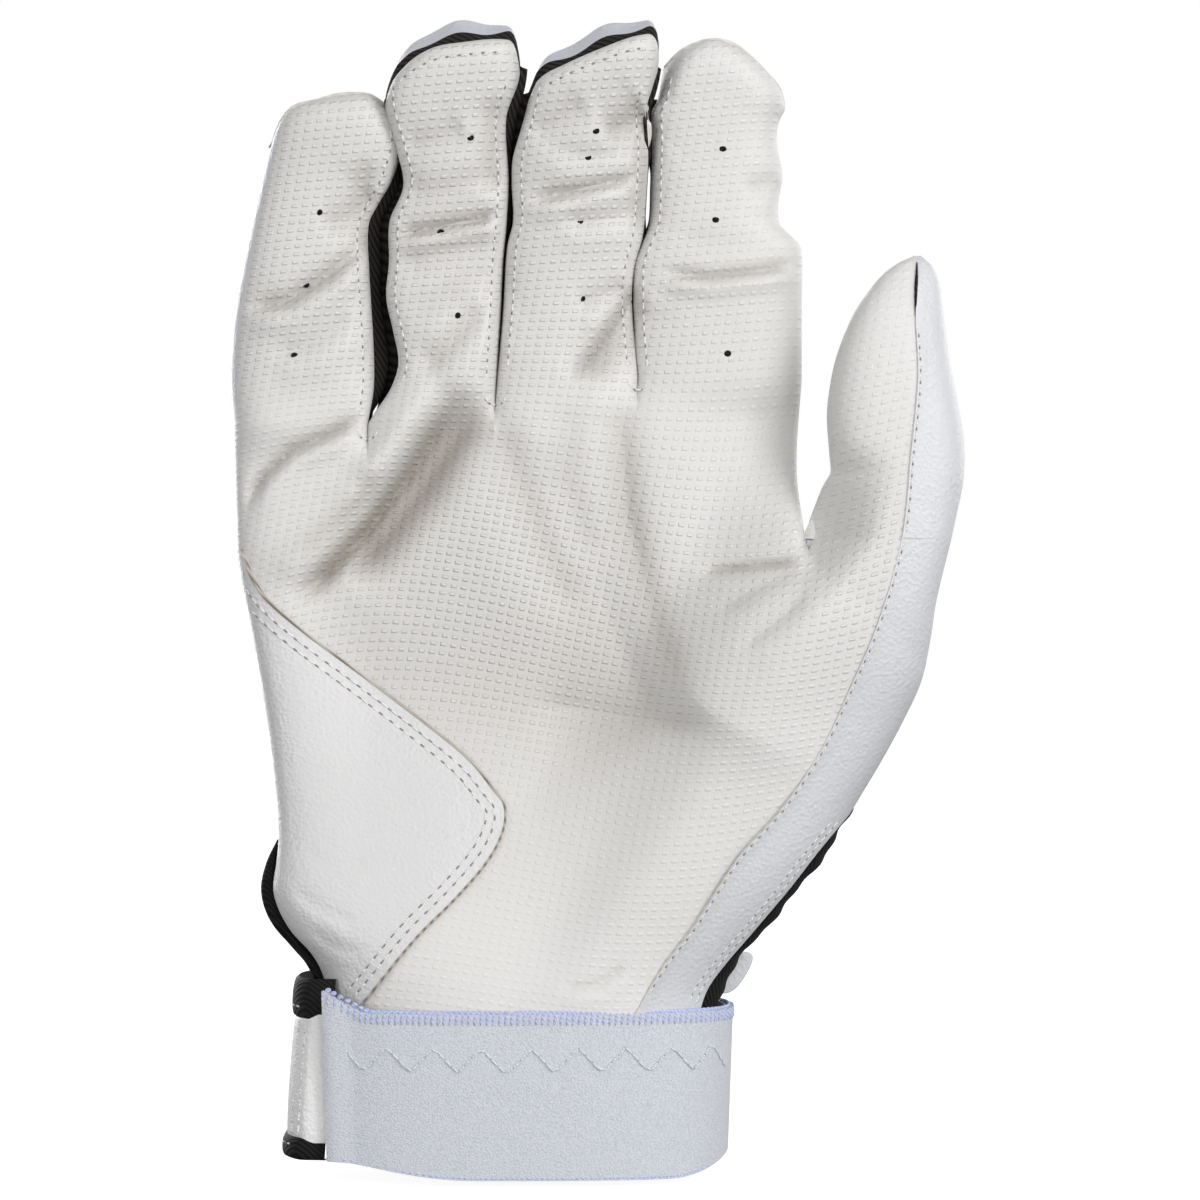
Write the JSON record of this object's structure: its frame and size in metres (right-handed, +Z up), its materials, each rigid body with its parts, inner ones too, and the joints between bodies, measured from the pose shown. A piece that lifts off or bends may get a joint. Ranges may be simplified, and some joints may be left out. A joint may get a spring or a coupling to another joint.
{
  "type": "batting glove",
  "caption": "Right-hand batting glove of white leather with an elastic cuff, knit side strips and a hook-and-loop wrist strap; the fingers and thumb fold and the strap opens.",
  "frame": {"origin": "bottom centre of the box, on the plane of the cuff's hem", "axes": "+Z up along the fingers, palm facing -Y, thumb on +X"},
  "size_m": [0.1458, 0.053, 0.2286],
  "materials": {
    "palm_leather": "embossed, soft sheen",
    "smooth_leather": "smooth, soft sheen",
    "elastic": "brushed loop",
    "knit": "matt ribbed",
    "hook_tape": "matt"
  },
  "bodies": {
    "hand": {"palm_panel": "palm_leather", "heel_patch": "smooth_leather", "thumb_strip": "smooth_leather", "back_panel": "smooth_leather", "thumb_knit_insert": "knit", "slit_binding": "knit", "wrist_binding": "knit", "pull_tab": "smooth_leather", "cuff_band": "elastic", "cuff_back_thumb_side": "elastic", "cuff_back_little_side": "elastic", "strap_tab": "smooth_leather", "tab_upper_binding": "knit", "tab_lower_binding": "knit", "loop_patch": "elastic"},
    "little_finger": {"little_front": "palm_leather", "little_back": "smooth_leather", "little_fourchette": "knit"},
    "ring_finger": {"ring_front": "palm_leather", "ring_back": "smooth_leather", "ring_fourchette": "knit"},
    "middle_finger": {"middle_front": "palm_leather", "middle_back": "smooth_leather", "middle_fourchette": "knit"},
    "index_finger": {"index_front": "palm_leather", "index_back": "smooth_leather", "index_fourchette": "knit"},
    "thumb": {"thumb_front": "palm_leather", "thumb_back": "smooth_leather"},
    "strap": {"closure_strap": "smooth_leather", "strap_upper_binding": "knit", "strap_lower_binding": "knit", "hook_patch": "hook_tape"}
  },
  "joints": [
    {"name": "little_finger_fold", "type": "hinge", "parent": "hand", "child": "little_finger", "pos_m": [-0.0594, -0.00459, 0.15], "axis": [1, 0, 0], "range_deg": [0, 80]},
    {"name": "ring_finger_fold", "type": "hinge", "parent": "hand", "child": "ring_finger", "pos_m": [-0.0324, -0.00459, 0.155], "axis": [1, 0, 0], "range_deg": [0, 80]},
    {"name": "middle_finger_fold", "type": "hinge", "parent": "hand", "child": "middle_finger", "pos_m": [-0.0055, -0.00459, 0.159], "axis": [1, 0, 0], "range_deg": [0, 80]},
    {"name": "index_finger_fold", "type": "hinge", "parent": "hand", "child": "index_finger", "pos_m": [0.0252, -0.00459, 0.158], "axis": [1, 0, 0], "range_deg": [0, 80]},
    {"name": "thumb_fold", "type": "hinge", "parent": "hand", "child": "thumb", "pos_m": [0.0566, -0.02589, 0.1264], "axis": [1, 0, 0], "range_deg": [0, 45]},
    {"name": "strap_swing", "type": "hinge", "parent": "hand", "child": "strap", "pos_m": [-0.05817, 0.0172, 0.008], "axis": [0, 0, 1], "range_deg": [0, 110]}
  ]
}
